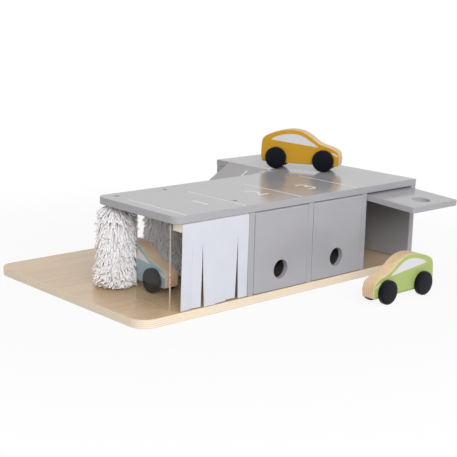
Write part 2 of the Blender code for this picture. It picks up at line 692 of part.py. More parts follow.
def car_outline(curve):
    """The side of a car: x runs forward from the rear axle, y up from the ground."""
    tail = -REAR_OVERHANG
    nose = WHEELBASE + FRONT_OVERHANG
    tail_lean = 0.0015
    points = [
        (tail + 0.004, CAR_UNDERSIDE, "VECTOR"),
        (tail, CAR_UNDERSIDE + 0.006, "VECTOR"),
        (tail + tail_lean, CAR_TAIL_HEIGHT, "AUTO"),
        (tail + 0.012, CAR_TAIL_HEIGHT + 0.0095, "AUTO"),
        (0, CAR_ROOF_HEIGHT - 0.0044, "AUTO"),
        (CAR_ROOF_PEAK, CAR_ROOF_HEIGHT, "AUTO"),
        (CAR_ROOF_PEAK + 0.026, CAR_ROOF_HEIGHT - 0.006, "AUTO"),
        (CAR_HOOD_START, CAR_HOOD_HEIGHT, "AUTO"),
        (nose - 0.008, CAR_NOSE_HEIGHT + 0.002, "AUTO"),
        (nose, CAR_NOSE_HEIGHT - 0.009, "AUTO"),
        (nose, CAR_UNDERSIDE + 0.005, "VECTOR"),
        (nose - 0.004, CAR_UNDERSIDE, "VECTOR")]
    spline = curve.splines.new("BEZIER")
    spline.bezier_points.add(len(points) - 1)
    for target, (x, height, handle) in zip(spline.bezier_points, points):
        target.co = (x, height, 0)
        target.handle_left_type = handle
        target.handle_right_type = handle
    spline.use_cyclic_u = True
    spline.resolution_u = 4


def add_car(colour_name, place, heading, ground, finish):
    """A flat wooden car on four wheels. Its own +X is forward and its origin is on the ground."""
    car = add_empty(f"{colour_name} car", (*place, ground), turn=heading, parent=frame)
    body_mesh = flat_outline_mesh(f"{colour_name}_car_body", car_outline, CAR_THICKNESS)
    body_mesh.transform(ALONG_Y)
    body = add_piece(f"{colour_name}_car_body", body_mesh, finish, parent=car)
    add_bevel(body, CAR_EDGE)
    axle_length = 2 * (CAR_THICKNESS / 2 + RUNNING_GAP + WHEEL_BORE_DEPTH - GAP)
    for end, axle_x in (("rear", 0), ("front", WHEELBASE)):
        centre = (axle_x, 0, WHEEL_RADIUS)
        hole = cylinder_mesh(
            f"{colour_name} {end} axle hole", AXLE_RADIUS + GAP, 2 * CAR_THICKNESS, segments=16,
            turn=ALONG_Y, centre=centre)
        cut(body, hole, parent=car)
        axle = cylinder_mesh(
            f"{colour_name}_car_{end}_axle", AXLE_RADIUS, axle_length, segments=16, turn=ALONG_Y)
        add_piece(f"{colour_name}_car_{end}_axle", axle, DARK_STEEL, place=centre, parent=car)
        for side, name in ((1, "left"), (-1, "right")):
            add_wheel(f"{colour_name}_car_{end}_{name}_wheel", centre, side, car)
    return body


def add_wheel(name, axle_centre, side, car):
    """A domed wheel with a blind bore for the axle. Its own +Z points away from the car."""
    half = WHEEL_WIDTH / 2
    bore = AXLE_RADIUS + GAP
    rim = WHEEL_RADIUS - WHEEL_ROUNDING
    shoulder = half - WHEEL_DOME
    profile = [(0, half), (rim, shoulder)]
    for step in range(1, 4):
        angle = math.pi / 2 * step / 3
        profile.append((
            rim + WHEEL_ROUNDING * math.sin(angle),
            shoulder - WHEEL_ROUNDING * (1 - math.cos(angle))))
    profile += [
        (WHEEL_RADIUS, -half), (bore, -half), (bore, WHEEL_BORE_DEPTH - half),
        (0, WHEEL_BORE_DEPTH - half)]
    place = (axle_centre[0], side * TRACK, axle_centre[2])
    wheel = turned_piece(name, profile, BLACK_PLASTIC, steps=24, place=place, parent=car)
    wheel.rotation_euler = (-side * math.pi / 2, 0, 0)
    return wheel


frame = add_empty("garage frame", (-BASE_LENGTH / 2, -BASE_DEPTH / 2, 0))
add_base()
add_deck()
add_walls()
add_ramp()
add_door(1, left_wall=3, slid_in=0, angle=0)
add_door(2, left_wall=2, slid_in=0, angle=0)
add_door(3, left_wall=1, slid_in=OPEN_DOOR_SLID_IN, angle=OPEN_ANGLE)
for brush_number, brush_place in enumerate(BRUSH_PLACES, 1):
    add_brush(brush_number, brush_place)
add_screw("divider_screw", (*divider_screw_place(), DECK_TOP))
add_window()
add_curtain()
add_batten()
add_car("yellow", YELLOW_CAR_PLACE, YELLOW_CAR_HEADING, DECK_TOP + GAP, YELLOW_PAINT)
add_car("green", GREEN_CAR_PLACE, GREEN_CAR_HEADING, 0, GREEN_PAINT)
add_car("blue", BLUE_CAR_PLACE, BLUE_CAR_HEADING, BASE_TOP + GAP, BLUE_PAINT)
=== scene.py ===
"""The toy garage as it looks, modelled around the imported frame. Metres, +Z up, doors facing -Y."""

import math
import random

import bmesh
import bpy
from mathutils import Matrix, Vector


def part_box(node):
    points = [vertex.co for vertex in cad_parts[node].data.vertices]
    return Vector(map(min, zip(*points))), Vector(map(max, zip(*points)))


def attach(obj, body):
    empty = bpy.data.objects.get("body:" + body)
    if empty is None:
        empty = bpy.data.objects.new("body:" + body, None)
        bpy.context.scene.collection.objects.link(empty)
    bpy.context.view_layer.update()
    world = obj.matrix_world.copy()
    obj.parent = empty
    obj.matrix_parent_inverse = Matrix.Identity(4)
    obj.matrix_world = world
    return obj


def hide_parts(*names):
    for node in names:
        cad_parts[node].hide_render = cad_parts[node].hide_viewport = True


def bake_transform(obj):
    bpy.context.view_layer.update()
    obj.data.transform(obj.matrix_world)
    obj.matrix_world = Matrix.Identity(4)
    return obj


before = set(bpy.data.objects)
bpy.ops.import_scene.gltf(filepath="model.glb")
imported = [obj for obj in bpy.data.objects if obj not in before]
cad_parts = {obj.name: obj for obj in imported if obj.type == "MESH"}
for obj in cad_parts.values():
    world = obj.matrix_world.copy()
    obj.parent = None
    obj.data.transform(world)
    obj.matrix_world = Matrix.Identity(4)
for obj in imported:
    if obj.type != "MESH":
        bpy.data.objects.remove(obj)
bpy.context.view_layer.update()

# Places on the garage, in metres from the scene's origin
DECK_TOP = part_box("roof_deck")[1].z
BASE_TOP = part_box("base_board")[1].z
DECK_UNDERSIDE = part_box("roof_deck")[0].z
DECK_BACK = -0.001
PLATFORM_X = 0.150
BRUSH_PLACES = {1: (-0.214, -0.0215), 2: (-0.1195, -0.0225)}
DIVIDER_SCREW = (-0.090, -0.1565)
RAMP_TOE = 0.0015

# Boards and the window between them
BASE_CORNER = 0.027
DECK_CORNER = 0.016
EDGE_ROUNDING = 0.0009
BASE_HEAD_HOLE = 0.0070
DECK_HEAD_HOLE = 0.0050
SLOT_DEPTH = 0.004
SLOT_GAP = 0.0001
PANE_ROUNDING = 0.0004
BATTEN_ROUNDING = 0.0010

# Printed marks
PRINT_SINK = 0.00002
PRINT_THICKNESS = 0.00008
LINE_WIDTH = 0.0033
LINE_ENDS = (-0.1935, -0.0575)
LINE_PLACES = (-0.217, -0.1005, 0.0185, 0.151)
NUMBER_SIZE = 0.056
NUMBER_BOLDNESS = 0.0002
NUMBER_PLACES = {"1": (-0.1425, -0.1380), "2": (-0.0190, -0.1305), "3": (0.087, -0.1400)}
TURN_MARK_WIDTH = 0.0035
TURN_MARK = (
    ((0.097, -0.0035), (0.120, 0.0030), (0.139, 0.0125)), ((0.1385, 0.0130), (0.148, 0.0045)),
    ((0.139, 0.0125), (0.127, 0.0155)))
DASH_COUNT = 5
DASH_STEP = 0.045
DASH_LENGTH = 0.0250
DASH_HALF_WIDTH = 0.0018
DASH_SETBACK = 0.0117

# Doors, measured from their pins
DOOR_TRAVEL_OPEN = math.radians(86.6)
DOOR_HALF_THICKNESS = 0.0049
DOOR_BOTTOM = -0.1242
DOOR_TOP_ROUNDING = 0.94 * DOOR_HALF_THICKNESS
DOOR_FOOT_ROUNDING = 0.003
DOOR_EDGE_ROUNDING = 0.0006
FINGER_HOLE_RADIUS = 0.015
FINGER_HOLE_HEIGHT = -0.0925
FINGER_HOLE_ROUNDING = 0.0012
PIN_BORE_RADIUS = 0.0023
PIN_BORE_DEPTH = 0.0125

# Screws and round holes. A through hole's cutter is longer than any piece is thick
THROUGH = 0.05
HEAD_RADIUS = 0.005
HEAD_THICKNESS = 0.0022
HEAD_ROUNDING = 0.0004
HEAD_HOLE_RADIUS = 0.0053
SHANK_HOLE_RADIUS = 0.0023
SHANK_HOLE_LENGTH = 0.0400
SHANK_INSET = 0.003
SHANK_PART = 0.0130
POINT_SCALE = 0.55
HEXAGON_RADIUS = 0.0023
HEXAGON_LENGTH = 0.0026
BASE_SCREW_HEIGHT = 0.001
AXLE_HOLE_RADIUS = 0.0023
AXLE_HOLE_RIM = 0.003
WHEEL_BORE = 0.0060

# Cars
WHEELBASE = 0.088
WHEEL_RADIUS = 0.0195
WHEEL_WIDTH = 0.009
TRACK = 0.0171
CAR_THICKNESS = 0.024
CAR_ROUNDING = 0.0016
PAINTED_SLOPE = 0.60
WINDOW_EDGE = 0.0013
MARK_SINK = 0.0004
MARK_RISE = 0.00012
WHEEL_SHOULDER = 0.0034
WHEEL_BACK_ROUNDING = 0.0008
DOME_STEPS = ((0.0030, 0.00032), (0.0040, 0.00026), (0.0040, 0.00014), (0.0030, 0.00005))

# The place of each car's rear axle on the ground, and its heading from +X
CARS = {
    "yellow": ((0.1852, 0.0290, 0.1569), math.radians(-61.75)),
    "green": ((0.1693, -0.3100, 0.0), math.radians(180)),
    "blue": ((-0.1805, -0.0021, 0.0140), math.radians(-90))}

# Outlines from the side: along from the rear axle, and up from the ground
CAR_OUTLINE = (
    (-0.0255, 0.0106), (-0.0285, 0.0135), (-0.0295, 0.020), (-0.0294, 0.035), (-0.0284, 0.047),
    (-0.0258, 0.0535), (-0.0205, 0.0583), (-0.0134, 0.0619), (-0.0022, 0.0658), (0.0127, 0.0695),
    (0.0277, 0.0713), (0.0426, 0.0697), (0.0539, 0.0657), (0.0652, 0.0591), (0.0720, 0.0540),
    (0.0767, 0.0508), (0.0841, 0.0476), (0.0990, 0.0432), (0.1080, 0.0396), (0.1132, 0.0358),
    (0.1158, 0.0305), (0.1165, 0.0240), (0.1163, 0.0160), (0.1150, 0.0122), (0.1115, 0.0106))
WINDOW_ENDS = ((-0.0104, 0.0512), (0.0782, 0.0424))
WINDOW_TOP = (
    (-0.0066, 0.0551), (0.0025, 0.0590), (0.0124, 0.0619), (0.0235, 0.0637), (0.0339, 0.0640),
    (0.0425, 0.0626), (0.0500, 0.0600), (0.0600, 0.0545), (0.0700, 0.0482))
HEADLIGHT_OUTLINE = (
    (0.1015, 0.0352), (0.1068, 0.0340), (0.1112, 0.0318), (0.1142, 0.0288), (0.1128, 0.0280),
    (0.1085, 0.0296), (0.1045, 0.0318), (0.1018, 0.0340))

# Brushes: a strand is modelled with this reach and drop, and scaled from there
STRAND_RADIUS = 0.0015
STRAND_SIDES = 6
STRAND_STOPS = (0.28, 0.54, 0.78, 0.95, 1.0)
STRAND_TIP_SCALE = 0.5
STRAND_REACH = 0.024
STRAND_DROP = 0.024
SLEEVE_RADIUS = 0.0103
SLEEVE_BORE_RADIUS = 0.0073
SLEEVE_END_GAP = 0.0012
ROOT_RADIUS = SLEEVE_RADIUS - 0.0005
SHORTEST_REACH = 0.0110
REACH_STEP = 0.0007
STRAND_CLEARANCE = 0.0005
STRAND_TESTS = 14
YARN_ROWS = 31
YARN_ROUND = 42
FIRST_ROW = 0.0035
ROWS_SHORTER = 0.0055
TURN_SCATTER = 0.3
ROOT_SCATTER = 0.0025
FLYAWAY_SHARE = 0.08
FLYAWAY_DROP, HANGING_DROP = (0.2, 0.5), (0.6, 1.3)
UNDER_ROOF, ROOF_DROP = 0.88, (0.25, 0.9)
FOOT_DROP = (0.35, 0.9)
YARN_REACH = 0.0330
YARN_FLARE, FLARE_SHARE, FLARE_SPREAD = 0.0062, 0.10, 0.16
FLYAWAY_REACH, HANGING_REACH = (1.02, 1.10), (0.80, 1.04, 0.95)
STRAND_WIDTHS = (0.9, 1.15)

# Curtain: for each strip its lean sideways, swing forward, twist, and raised end, at its foot
SLIT_SHARES = (0.151, 0.297, 0.475, 0.653, 0.830)
STRIP_COLUMNS = 6
CURTAIN_ROWS = 30
BAND_ROWS = 4
CURTAIN_BAND = 0.033
FELT_THICKNESS = 0.0007
RAIL_GAP = 0.0006
HALF_SLIT = 0.00012
RIPPLE = 0.0002
STRIP_LEANS = (-0.0022, -0.0020, 0.0024, 0.0004, -0.0026, 0.0026)
STRIP_SWINGS = (0.0006, 0.0012, -0.0016, -0.0002, 0.0013, 0.0008)
STRIP_TWISTS = (0.0018, -0.0022, 0.0004, 0.0006, -0.0006, 0.0014)
STRIP_ENDS = (0.0, 0.0004, 0.0, 0.0006, 0.0018, 0.0)

# Studio: each light's place, aim, size, power and colour
FLOOR_SIZE = 12
FLOOR_WHITENESS = 0.9
WORLD_LIGHT = 0.32
SEEING_RAYS = ("Is Camera Ray", "Is Glossy Ray", "Is Transmission Ray")
LIGHTS = {
    "key light": ((-1.15, -1.8, 1.15), (0, 0, 0.1), (1.4, 1.1), 36, (0.97, 0.97, 1.0)),
    "front light": ((0.5, -2.0, 1.85), (0, 0, 0.1), (1.4, 1.1), 18, (0.97, 0.98, 1.0)),
    "back light": ((-0.5, 2.1, 0.75), (-0.15, 0, 0.05), (2.0, 1.2), 13, (1.0, 0.92, 0.82)),
    "top light": ((-0.1, 0.4, 2.4), (0, 0, 0.1), (2.2, 2.2), 4, (1.0, 0.76, 0.52))}
CAMERA_PLACE = (-1.1734, -1.3383, 0.4776)
CAMERA_AZIMUTH, CAMERA_ELEVATION, CAMERA_ROLL = map(math.radians, (-42.21, 12.82, 1.315))
LENS_LENGTH = 84.09
SENSOR_WIDTH = 36

TOLERANCE = 1e-6


# Shader groups

SOCKET_KINDS = {
    "Place": "NodeSocketVector", "Colour": "NodeSocketColor", "Light": "NodeSocketColor",
    "Dark": "NodeSocketColor", "Shade": "NodeSocketColor"}


def feed(tree, value, socket):
    """Gives a socket a plain value, or links another node's output to it."""
    if isinstance(value, bpy.types.NodeSocket):
        tree.links.new(value, socket)
    elif socket.type == "RGBA":
        socket.default_value = (*value, 1)
    else:
        socket.default_value = value


def add_node(tree, kind, given=None, **settings):
    """A node with its settings, and with what is given to its inputs, by name or number."""
    made = tree.nodes.new(kind)
    for name, value in settings.items():
        setattr(made, name, value)
    for label, value in (given or {}).items():
        feed(tree, value, made.inputs[label])
    return made


def calculate(tree, operation, *values):
    return add_node(
        tree, "ShaderNodeMath", dict(enumerate(values)), operation=operation).outputs[0]


def remap(tree, *values):
    """Takes a value, its low and high, and what they become."""
    return add_node(
        tree, "ShaderNodeMapRange", dict(enumerate(values)),
        interpolation_type="SMOOTHSTEP").outputs[0]


def blend_colours(tree, share, first, second):
    return add_node(
        tree, "ShaderNodeMix", {0: share, 6: first, 7: second}, data_type="RGBA").outputs[2]


def part_of(tree, vector, axis):
    return add_node(tree, "ShaderNodeSeparateXYZ", {0: vector}).outputs[axis]


def add_noise(tree, place, **values):
    return add_node(tree, "ShaderNodeTexNoise", {"Vector": place, **values}).outputs["Fac"]


def stretched_noise(tree, place, stretch, scale, detail=3.0, roughness=0.5):
    """Noise that is squeezed along each axis by the amounts in stretch."""
    stretched = add_node(tree, "ShaderNodeMapping", {"Vector": place, "Scale": stretch})
    return add_noise(
        tree, stretched.outputs[0], Scale=scale, Detail=detail, Roughness=roughness)


def any_ray(tree, *kinds):
    """1 for a ray of any of these kinds, else 0."""
    path = add_node(tree, "ShaderNodeLightPath")
    found = path.outputs[kinds[0]]
    for kind in kinds[1:]:
        found = calculate(tree, "MAXIMUM", found, path.outputs[kind])
    return found


def mix_on_surface(tree, share, first, second):
    """Puts a mix of two shader nodes on the material's surface."""
    mix = add_node(
        tree, "ShaderNodeMixShader", {0: share, 1: first.outputs[0], 2: second.outputs[0]})
    tree.links.new(mix.outputs[0], tree.nodes["Material Output"].inputs["Surface"])


def new_group(name, inputs, outputs):
    """A shader node group with its sockets. Returns it and what it is given."""
    group = bpy.data.node_groups.new(name, "ShaderNodeTree")
    for direction, labels in (("INPUT", inputs), ("OUTPUT", outputs)):
        for label in labels:
            kind = SOCKET_KINDS.get(label, "NodeSocketFloat")
            group.interface.new_socket(label, in_out=direction, socket_type=kind)
    return group, add_node(group, "NodeGroupInput").outputs


def close_group(group, **values):
    """Gives the group its results."""
    add_node(group, "NodeGroupOutput", values)
    return group


def make_mottle_group():
    """Slow changes of tone over a surface."""
    group, given = new_group(
        "mottle", ("Place", "Colour", "Amount", "Scale"), ("Colour", "Mask"))
    slow = add_noise(group, given["Place"], Scale=given["Scale"], Detail=4.0)
    centred = calculate(group, "SUBTRACT", slow, 0.5)
    swing = calculate(group, "MULTIPLY", centred, given["Amount"])
    factor = calculate(group, "MULTIPLY_ADD", swing, 2.0, 1.0)
    scaled = add_node(
        group, "ShaderNodeVectorMath", {0: given["Colour"], "Scale": factor}, operation="SCALE")
    return close_group(group, Colour=scaled.outputs[0], Mask=slow)


def make_grain_group():
    """Wood grain that runs along the X of the place it is given: long soft streaks and pores."""
    group, given = new_group(
        "wood grain", ("Place", "Light", "Dark", "Strength"), ("Colour", "Height"))
    streaks = stretched_noise(group, given["Place"], (2.2, 70.0, 70.0), 2.0, 5.0, 0.6)
    bands = stretched_noise(group, given["Place"], (0.9, 13.0, 13.0), 2.4, 2.0, 0.5)
    pores = stretched_noise(group, given["Place"], (55.0, 900.0, 900.0), 1.0, 2.0, 0.5)
    both = calculate(group, "MULTIPLY_ADD", bands, 0.6, calculate(group, "MULTIPLY", streaks, 0.4))
    soft = remap(group, both, 0.38, 0.62, 0.0, 1.0)
    pore_mask = remap(group, pores, 0.60, 0.74, 0.0, 0.45)
    share = calculate(group, "MAXIMUM", soft, pore_mask)
    share = calculate(group, "MULTIPLY", share, given["Strength"])
    colour = blend_colours(group, share, given["Light"], given["Dark"])
    height = calculate(group, "SUBTRACT", 1.0, calculate(group, "ADD", pore_mask, streaks))
    return close_group(group, Colour=colour, Height=height)


def make_ply_group():
    """The edge of plywood: layers that follow each other along the height it is given."""
    group, given = new_group(
        "ply layers", ("Place", "Across", "Layer", "Light", "Dark"), ("Colour",))
    wander = stretched_noise(group, given["Place"], (40.0, 40.0, 40.0), 1.0, 2.0)
    moved = calculate(group, "MULTIPLY_ADD", calculate(group, "SUBTRACT", wander, 0.5), 0.0007,
                      given["Across"])
    turns = calculate(group, "DIVIDE", moved, given["Layer"])
    wave = calculate(group, "SINE", calculate(group, "MULTIPLY", turns, math.pi))
    stripe = remap(group, wave, -0.35, 0.45, 0.0, 1.0)
    fibres = stretched_noise(group, given["Place"], (500.0, 500.0, 900.0), 1.0, 3.0)
    share = calculate(group, "MULTIPLY_ADD", fibres, 0.5, calculate(group, "MULTIPLY", stripe, 0.6))
    share = calculate(group, "SUBTRACT", share, 0.12)
    colour = blend_colours(group, share, given["Light"], given["Dark"])
    return close_group(group, Colour=colour)


def make_fibre_group():
    """Matted fibres, as on felt and yarn: a tone for each tuft and a fine bumpy height."""
    group, given = new_group(
        "fibres", ("Place", "Colour", "Shade", "Size"), ("Colour", "Height"))
    tufts = add_noise(
        group, given["Place"], Scale=given["Size"], Detail=5.0, Roughness=0.65, Distortion=1.2)
    share = remap(group, tufts, 0.35, 0.70, 0.0, 0.55)
    colour = blend_colours(group, share, given["Colour"], given["Shade"])
    return close_group(group, Colour=colour, Height=tufts)


MOTTLE = make_mottle_group()
GRAIN = make_grain_group()
PLY = make_ply_group()
FIBRES = make_fibre_group()


# Materials

def place_group(tree, group, **values):
    return add_node(tree, "ShaderNodeGroup", values, node_tree=group).outputs


def start_material(name, roughness, **plain):
    """A material with its plain values on the shader. Returns it, its tree, shader and place."""
    material = bpy.data.materials.new(name)
    material.use_nodes = True
    tree = material.node_tree
    shader = tree.nodes["Principled BSDF"]
    shader.inputs["Roughness"].default_value = roughness
    for label, value in plain.items():
        shader.inputs[label.replace("_", " ")].default_value = value
    place = add_node(tree, "ShaderNodeTexCoord").outputs["Object"]
    return material, tree, shader, place


def tint(tree, shader, place, colour, amount, scale):
    """Colours a surface with slow changes of tone. Returns the mask that they follow."""
    mottle = place_group(tree, MOTTLE, Place=place, Colour=colour, Amount=amount, Scale=scale)
    tree.links.new(mottle["Colour"], shader.inputs["Base Color"])
    return mottle["Mask"]


def vary_gloss(tree, shader, *values):
    """Lets the roughness follow a mask."""
    tree.links.new(remap(tree, *values), shader.inputs["Roughness"])


def bump(tree, shader, height, distance, strength=1.0):
    made = add_node(
        tree, "ShaderNodeBump", {"Strength": strength, "Distance": distance, "Height": height})
    tree.links.new(made.outputs[0], shader.inputs["Normal"])


def make_even_material(name, colour, roughness, less, more, mottle, peel=None, **plain):
    """One even stuff: its mottle is a pair of amount and scale, its peel one of scale and depth."""
    material, tree, shader, place = start_material(name, roughness, **plain)
    mask = tint(tree, shader, place, colour, *mottle)
    vary_gloss(tree, shader, mask, 0.3, 0.7, roughness - less, roughness + more)
    if peel:
        bump(tree, shader, stretched_noise(tree, place, (1, 1, 1), peel[0], 2.0), peel[1])
    return material


def make_paint(name, colour, roughness=0.33, unevenness=0.00002, gloss=0.5):
    """Sprayed satin paint over wood: nearly even in tone, with a faint orange peel."""
    return make_even_material(
        name, colour, roughness, 0.03, 0.04, (0.035, 14.0), (420.0, unevenness),
        Specular_IOR_Level=gloss)


def make_plywood():
    """Lacquered birch plywood: grain on the faces, layers on the edges."""
    material, tree, shader, place = start_material("birch plywood", 0.20)
    face = place_group(
        tree, GRAIN, Place=place, Light=(0.68, 0.50, 0.31), Dark=(0.55, 0.38, 0.21),
        Strength=0.55)
    edge = place_group(
        tree, PLY, Place=place, Across=part_of(tree, place, "Z"), Layer=0.00152,
        Light=(0.88, 0.77, 0.62), Dark=(0.70, 0.55, 0.39))
    normal = add_node(tree, "ShaderNodeTexCoord").outputs["Normal"]
    flatness = calculate(tree, "ABSOLUTE", part_of(tree, normal, "Z"))
    share = remap(tree, flatness, 0.75, 0.95, 1.0, 0.0)
    colour = blend_colours(tree, share, face["Colour"], edge["Colour"])
    tint(tree, shader, place, colour, 0.06, 6.0)
    bump(tree, shader, face["Height"], 0.00008, 0.5)
    return material


def make_bare_wood(name, light, dark, along_attribute=None):
    """Sanded wood. With an attribute, the grain runs along its X and the layers across its Y."""
    material, tree, shader, place = start_material(name, 0.55)
    if along_attribute:
        place = add_node(
            tree, "ShaderNodeAttribute", attribute_name=along_attribute).outputs["Vector"]
    grain = place_group(tree, GRAIN, Place=place, Light=light, Dark=dark, Strength=0.8)
    colour = grain["Colour"]
    if along_attribute:
        layers = place_group(
            tree, PLY, Place=place, Across=part_of(tree, place, "Y"), Layer=0.0019,
            Light=light, Dark=dark)
        colour = blend_colours(tree, 0.40, colour, layers["Colour"])
    tint(tree, shader, place, colour, 0.08, 25.0)
    bump(tree, shader, grain["Height"], 0.0001, 0.6)
    return material


def make_fibre_material(name, colour, shade, size, depth, sheen=0.35, glow=0.0):
    """Felt or yarn: no gloss, a soft sheen, and fibres in colour and height."""
    material, tree, shader, place = start_material(
        name, 0.95, Sheen_Weight=sheen, Subsurface_Weight=glow, Subsurface_Scale=0.0012,
        Subsurface_Radius=(1.0, 1.0, 1.0))
    fibres = place_group(tree, FIBRES, Place=place, Colour=colour, Shade=shade, Size=size)
    tint(tree, shader, place, fibres["Colour"], 0.05, 30.0)
    bump(tree, shader, fibres["Height"], depth)
    return material


def make_acrylic(name, roughness, transmission, colour):
    """Clear plastic with faint wipe marks in its gloss. Its shadow is nearly as clear as it is."""
    material, tree, shader, place = start_material(
        name, roughness, Transmission_Weight=transmission, IOR=1.2)
    haze = stretched_noise(tree, place, (1.0, 6.0, 1.5), 14.0, 3.0)
    vary_gloss(tree, shader, haze, 0.45, 0.75, 0.5 * roughness, 2.0 * roughness)
    tint(tree, shader, place, colour, 0.02, 20.0)
    clear = add_node(tree, "ShaderNodeBsdfTransparent", {"Color": (0.985, 0.985, 0.98)})
    mix_on_surface(tree, any_ray(tree, "Is Shadow Ray", "Is Diffuse Ray"), shader, clear)
    return material


GREY_PAINT = make_paint("grey paint", (0.378, 0.372, 0.390), 0.16, 0.00001, 0.38)
PLYWOOD = make_plywood()
LIGHT_WOOD = make_bare_wood("light wood", (0.74, 0.60, 0.43), (0.60, 0.44, 0.28))
PALE_WOOD = make_bare_wood("pale wood", (0.92, 0.86, 0.76), (0.80, 0.70, 0.56))
CAR_WOOD = make_bare_wood("car wood", (0.82, 0.63, 0.42), (0.56, 0.35, 0.18), "own_place")
PRINT_WHITE = make_paint("white print", (0.72, 0.70, 0.67), 0.4)
WINDOW_PAINT = make_paint("pale window paint", (0.69, 0.69, 0.73), 0.35)
WINDOW_WOOD = make_bare_wood(
    "window edge wood", (0.80, 0.70, 0.52), (0.66, 0.54, 0.36), "own_place")
CAR_PAINTS = {
    "yellow": make_paint("yellow paint", (0.58, 0.31, 0.012)),
    "green": make_paint("green paint", (0.38, 0.48, 0.145)),
    "blue": make_paint("blue paint", (0.30, 0.44, 0.49))}
YARN = make_fibre_material(
    "white yarn", (1.0, 0.97, 0.98), (0.97, 0.93, 0.945), 900.0, 0.0002, 1.0, 0.7)
FELT = make_fibre_material("white felt", (0.62, 0.63, 0.68), (0.57, 0.58, 0.63), 750.0, 0.00015)
BLACK_PLASTIC = make_even_material(
    "black plastic", (0.003, 0.004, 0.008), 0.30, 0.04, 0.06, (0.10, 60.0),
    (1500.0, 0.000005), Specular_IOR_Level=0.15)
DARK_STEEL = make_even_material(
    "dark steel", (0.36, 0.34, 0.32), 0.38, 0.08, 0.12, (0.20, 300.0), Metallic=1.0)
ACRYLIC = make_acrylic("clear acrylic", 0.03, 1.0, (0.99, 0.985, 0.98))
SAWN_ACRYLIC = make_acrylic("sawn acrylic edge", 0.45, 0.42, (0.76, 0.67, 0.58))
# The rear edge is the sawn edge again, painted darker: its darker colour is painted shade.
SHADED_REAR_ACRYLIC = make_acrylic("shaded rear acrylic edge", 0.45, 0.60, (0.58, 0.52, 0.46))


# Modelling steps

def alone(piece):
    """Selects this piece and nothing else."""
    bpy.ops.object.select_all(action="DESELECT")
    piece.select_set(True)
    bpy.context.view_layer.objects.active = piece


def settle(piece):
    """Puts the piece's place, turn and scale into its mesh."""
    alone(piece)
    bpy.ops.object.transform_apply(location=True, rotation=True, scale=True)


def name_new(name):
    piece = bpy.context.active_object
    piece.name = name
    piece.data.name = name
    return piece


def add_block(name, low, high):
    low, high = Vector(low), Vector(high)
    bpy.ops.mesh.primitive_cube_add(size=1, location=(low + high) / 2)
    piece = name_new(name)
    piece.scale = high - low
    settle(piece)
    return piece


def add_rod(name, radius, length, place=(0, 0, 0), turn=(0, 0, 0), sides=48):
    bpy.ops.mesh.primitive_cylinder_add(
        vertices=sides, radius=radius, depth=length, location=place, rotation=turn)
    piece = name_new(name)
    settle(piece)
    return piece


def edit(piece, mode="EDGE", everything=False):
    """Goes into edit mode with nothing or everything selected. Returns the mesh being edited."""
    alone(piece)
    bpy.ops.object.mode_set(mode="EDIT")
    bpy.ops.mesh.select_mode(type=mode)
    bpy.ops.mesh.select_all(action="SELECT" if everything else "DESELECT")
    return bmesh.from_edit_mesh(piece.data)


def leave_edit(face_outward=False):
    if face_outward:
        bpy.ops.mesh.select_all(action="SELECT")
        bpy.ops.mesh.normals_make_consistent(inside=False)
    bpy.ops.object.mode_set(mode="OBJECT")


def extrude(x, y, z):
    """In edit mode, draws what is selected out by this much."""
    bpy.ops.mesh.extrude_region_move(TRANSFORM_OT_translate={"value": (x, y, z)})


def pick(piece, parts):
    """In edit mode, selects these edges or faces."""
    for part in parts:
        part.select_set(True)
    bmesh.update_edit_mesh(piece.data)


def pick_faces(piece, wanted):
    """Goes into edit mode and selects the faces for which wanted(centre, normal) holds."""
    shape = edit(piece, "FACE")
    pick(piece, [
        face for face in shape.faces if wanted(face.calc_center_median(), face.normal)])


def round_edges(piece, width, segments, wanted):
    """Bevels the edges for which wanted(first end, second end) holds."""
    shape = edit(piece)
    pick(piece, [
        edge for edge in shape.edges if wanted(edge.verts[0].co, edge.verts[1].co)])
    bpy.ops.mesh.bevel(offset=width, segments=segments, profile=0.5, affect="EDGES")
    leave_edit()


def finish_with(piece, kind, **settings):
    """Adds a modifier and applies it."""
    alone(piece)
    modifier = piece.modifiers.new(kind.lower(), kind)
    for name, value in settings.items():
        setattr(modifier, name, value)
    bpy.ops.object.modifier_apply(modifier=modifier.name)


def cut_out(piece, cutter):
    finish_with(piece, "BOOLEAN", operation="DIFFERENCE", solver="EXACT", object=cutter)
    bpy.data.objects.remove(cutter, do_unlink=True)


def drill(piece, radius, length, place=(0, 0, 0), turn=(0, 0, 0), sides=48):
    """Cuts away a rod that has its middle at this place."""
    cut_out(piece, add_rod("hole", radius, length, place, turn, sides))


def fuse(pieces, name):
    """Joins pieces into the first of them, as loose parts, and gives it this name."""
    bpy.ops.object.select_all(action="DESELECT")
    for piece in pieces:
        piece.select_set(True)
    bpy.context.view_layer.objects.active = pieces[0]
    bpy.ops.object.join()
    pieces[0].name = name
    return pieces[0]


def copy_of(piece, name):
    twin = piece.copy()
    twin.data = piece.data.copy()
    twin.name = name
    twin.data.name = name
    bpy.context.scene.collection.objects.link(twin)
    return twin


def smooth(piece, degrees=35, weighted=True):
    alone(piece)
    bpy.ops.object.shade_smooth_by_angle(angle=math.radians(degrees))
    if weighted:
        finish_with(piece, "WEIGHTED_NORMAL", keep_sharp=True, weight=50)


def dress(piece, *materials):
    for material in materials:
        piece.data.materials.append(material)


def hand_over(piece, body, slot, replaced, *materials):
    """Gives a finished piece its materials and its body, and hides the nodes it replaces. The slot
    it is given is not used.
    """
    dress(piece, *materials)
    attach(piece, body)
    if replaced:
        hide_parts(*replaced)


def keep_node(node, material):
    """Gives a CAD node whose shape is right already its finish."""
    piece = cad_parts[node]
    piece.data.materials.clear()
    dress(piece, material)


def same(first, second):
    return abs(first - second) < TOLERANCE


def level_with(first, second, height):
    return same(first.z, height) and same(second.z, height)


def upright(first, second):
    return same(first.x, second.x) and same(first.y, second.y)


# Boards

